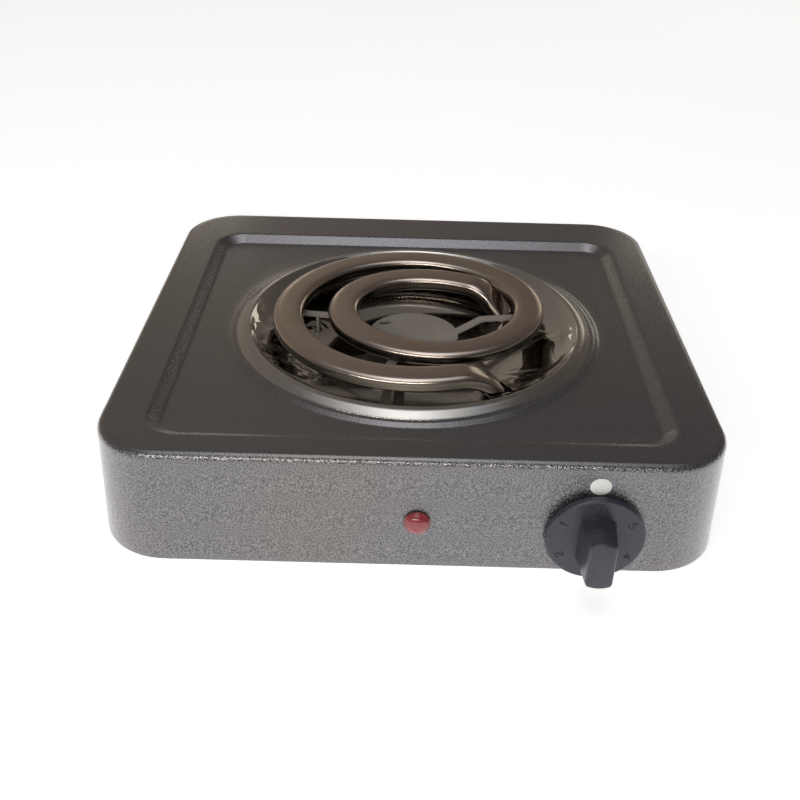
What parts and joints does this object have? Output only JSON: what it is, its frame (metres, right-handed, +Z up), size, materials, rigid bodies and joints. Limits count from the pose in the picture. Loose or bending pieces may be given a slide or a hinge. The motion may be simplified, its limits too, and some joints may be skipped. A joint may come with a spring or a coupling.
{
  "type": "hot plate burner",
  "caption": "Portable electric hot plate: square pressed-steel housing with a spiral heating coil over a chromed drip pan, a front temperature knob and a pilot lamp.",
  "frame": {"origin": "on the resting surface, in the middle of the overall footprint, which runs from the knob's tip to the cord gland's flange", "axes": "+Z up, -Y towards the front panel with the knob, +X to the right when facing that panel"},
  "size_m": [0.2396, 0.2474, 0.0613],
  "materials": {
    "hammertone_paint": "dark grey-brown hammertone enamel, glossy and speckled",
    "plated_steel": "zinc-plated sheet, satin",
    "chrome": "mirror-bright chrome, thin pressed sheet",
    "oxidised_tube": "heat-darkened bronze-brown nickel alloy, satin",
    "black_plastic": "moulded phenolic, fine satin",
    "white_ceramic": "unglazed",
    "brass": "plain",
    "white_enamel": "smooth white",
    "red_lens": "translucent red",
    "black_rubber": "matt",
    "bulb_glass": "clear",
    "wire_brown": "woven glass sleeve",
    "wire_blue": "silicone",
    "wire_green": "silicone",
    "wire_grey": "woven glass sleeve"
  },
  "bodies": {
    "housing": {"top_shell": "hammertone_paint", "base_plate": "plated_steel", "foot_front_left": "black_rubber", "foot_front_right": "black_rubber", "foot_rear_left": "black_rubber", "foot_rear_right": "black_rubber", "foot_screws": "plated_steel", "foot_nuts": "plated_steel", "base_screws": "plated_steel", "drip_pan": "chrome", "pan_bracket": "plated_steel", "pan_stud": "plated_steel", "pan_nut": "plated_steel", "heating_element": "oxidised_tube", "coil_support": "plated_steel", "insulator_outer": "white_ceramic", "insulator_inner": "white_ceramic", "terminal_outer": "plated_steel", "terminal_inner": "plated_steel", "thermostat_plate": "plated_steel", "thermostat_body": "white_ceramic", "thermostat_screws": "plated_steel", "thermostat_terminals": "brass", "bimetal_strip": "brass", "fixed_contact": "brass", "spindle_bush": "brass", "index_dot": "white_enamel", "lamp_lens": "red_lens", "lamp_holder": "black_plastic", "lamp_clip": "plated_steel", "neon_bulb": "bulb_glass", "cord_gland": "black_rubber", "terminal_block": "white_ceramic", "terminal_screws": "brass", "earth_screw": "brass", "earth_washer": "plated_steel", "earth_nut": "brass", "lead_live": "wire_brown", "lead_switched": "wire_grey", "lead_neutral": "wire_blue", "lead_earth": "wire_green", "lead_lamp_live": "wire_brown", "lead_lamp_neutral": "wire_blue"},
    "knob": {"knob": "black_plastic", "spindle": "plated_steel", "knob_clip": "plated_steel"},
    "contact_arm": {"contact_arm": "brass"}
  },
  "joints": [
    {"name": "knob_turn", "type": "hinge", "parent": "housing", "child": "knob", "pos_m": [0.0683, -0.10501, 0.0257], "axis": [0, 1, 0], "range_deg": [0, 300]},
    {"name": "contact_lift", "type": "slide", "parent": "housing", "child": "contact_arm", "axis": [0, 0, 1], "range_m": [0, 0.0019]}
  ],
  "couplings": [
    {"joint": "contact_lift", "follows": "knob_turn", "m_per_rad": 0.00036221}
  ]
}
